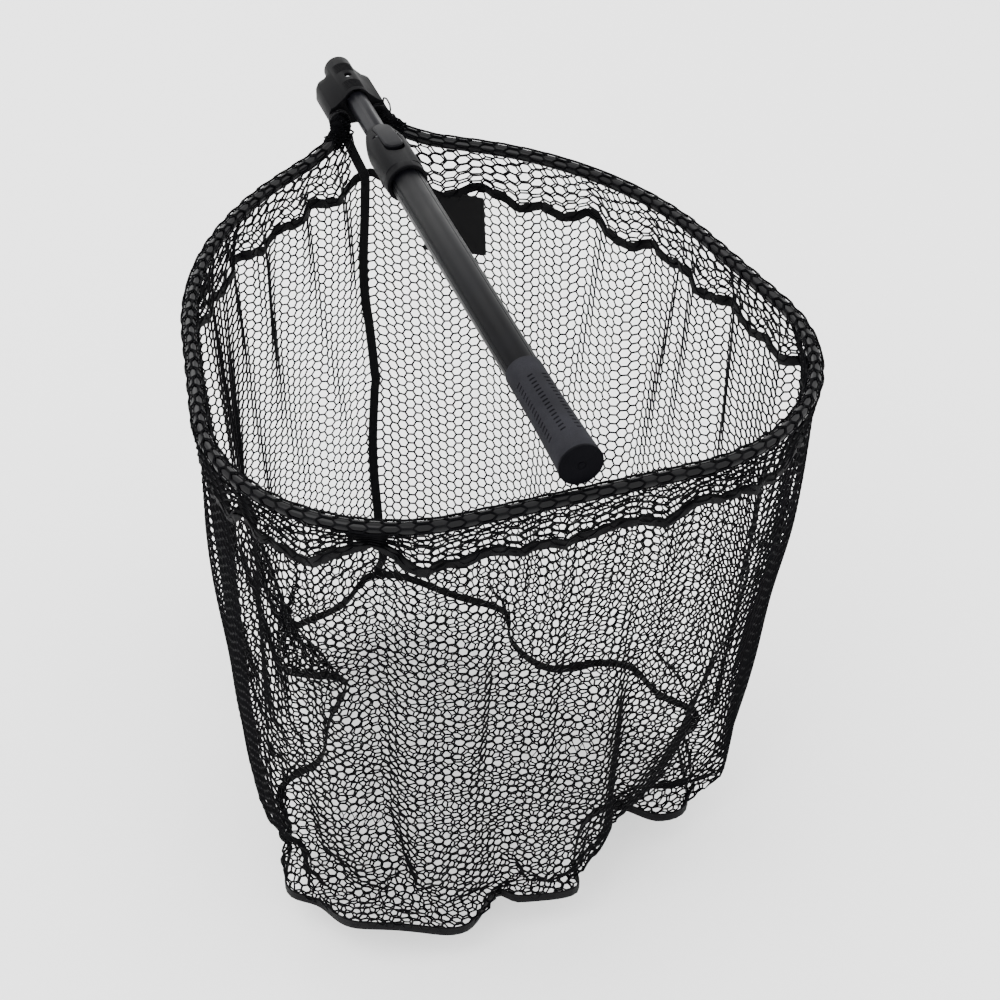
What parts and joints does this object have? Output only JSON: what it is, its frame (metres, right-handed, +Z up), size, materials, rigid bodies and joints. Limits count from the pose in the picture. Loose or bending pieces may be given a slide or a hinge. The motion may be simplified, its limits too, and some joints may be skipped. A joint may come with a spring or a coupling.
{
  "type": "landing net",
  "caption": "Landing net: a teardrop hoop with a deep mesh bag on a moulded yoke, and a telescopic handle stowed across the hoop.",
  "frame": {"origin": "centre of the butt cap's flat outer face, on the handle's axis", "axes": "+Y along the handle from the butt to the yoke, +Z up out of the hoop's mouth, so the bag hangs towards -Z, +X to the right"},
  "size_m": [0.5628, 0.6992, 0.5424],
  "materials": {
    "anodised_black": "satin black anodised",
    "anodised_grey": "satin dark grey anodised",
    "gloss_black": "gloss black powder coat",
    "moulded_black": "fine-textured moulding",
    "button_grey": "satin moulding",
    "nylon_black": "plain moulding",
    "cap_black": "fine matt moulding",
    "rubber_grey": "matt soft grip",
    "steel": "plain zinc-plated",
    "spring_steel": "drawn wire and strip",
    "chrome": "polished",
    "net_mesh": "coated hexagonal netting",
    "binding_tape": "woven binding",
    "tie_cord": "braided cord",
    "tag_cloth": "woven cloth, blank"
  },
  "bodies": {
    "handle": {"outer_tube": "anodised_black", "grip": "rubber_grey", "end_cap": "cap_black", "guide_bush": "nylon_black", "lock_housing": "moulded_black", "housing_screw": "steel", "lock_spring": "spring_steel", "lock_pivot_pin": "steel"},
    "lock_lever": {"lock_button": "button_grey", "lock_pin": "steel"},
    "inner_tube": {"inner_tube": "anodised_grey", "inner_tube_slider": "nylon_black", "snap_spring": "spring_steel"},
    "snap_button": {"snap_button": "chrome"},
    "head": {"yoke": "moulded_black", "hoop_screw_left": "steel", "hoop_screw_right": "steel", "hoop_tube": "gloss_black", "net_sleeve": "net_mesh", "tie_cord_left": "tie_cord", "tie_cord_right": "tie_cord", "net_skirt": "net_mesh", "top_band_tape": "binding_tape", "net_wall": "net_mesh", "bottom_seam_tape": "binding_tape", "net_bottom": "net_mesh", "vertical_seam_tape": "binding_tape", "label_tag": "tag_cloth"}
  },
  "joints": [
    {"name": "telescopic_slide", "type": "slide", "parent": "handle", "child": "inner_tube", "axis": [0, 1, 0], "range_m": [0, 0.36]},
    {"name": "head_pull_off", "type": "slide", "parent": "inner_tube", "child": "head", "axis": [0, 1, 0], "range_m": [0, 0.085]},
    {"name": "lock_button_press", "type": "hinge", "parent": "handle", "child": "lock_lever", "pos_m": [0, 0.5205, 0.0158], "axis": [1, 0, 0], "range_deg": [0, 5], "stiffness_Nm_per_rad": 0.25, "springref_deg": -5.73, "deforming": ["lock_spring"]},
    {"name": "snap_button_press", "type": "slide", "parent": "inner_tube", "child": "snap_button", "axis": [0, 0, -1], "range_m": [0, 0.0026], "stiffness_N_per_m": 300, "springref_m": -0.002, "deforming": ["snap_spring"]}
  ]
}
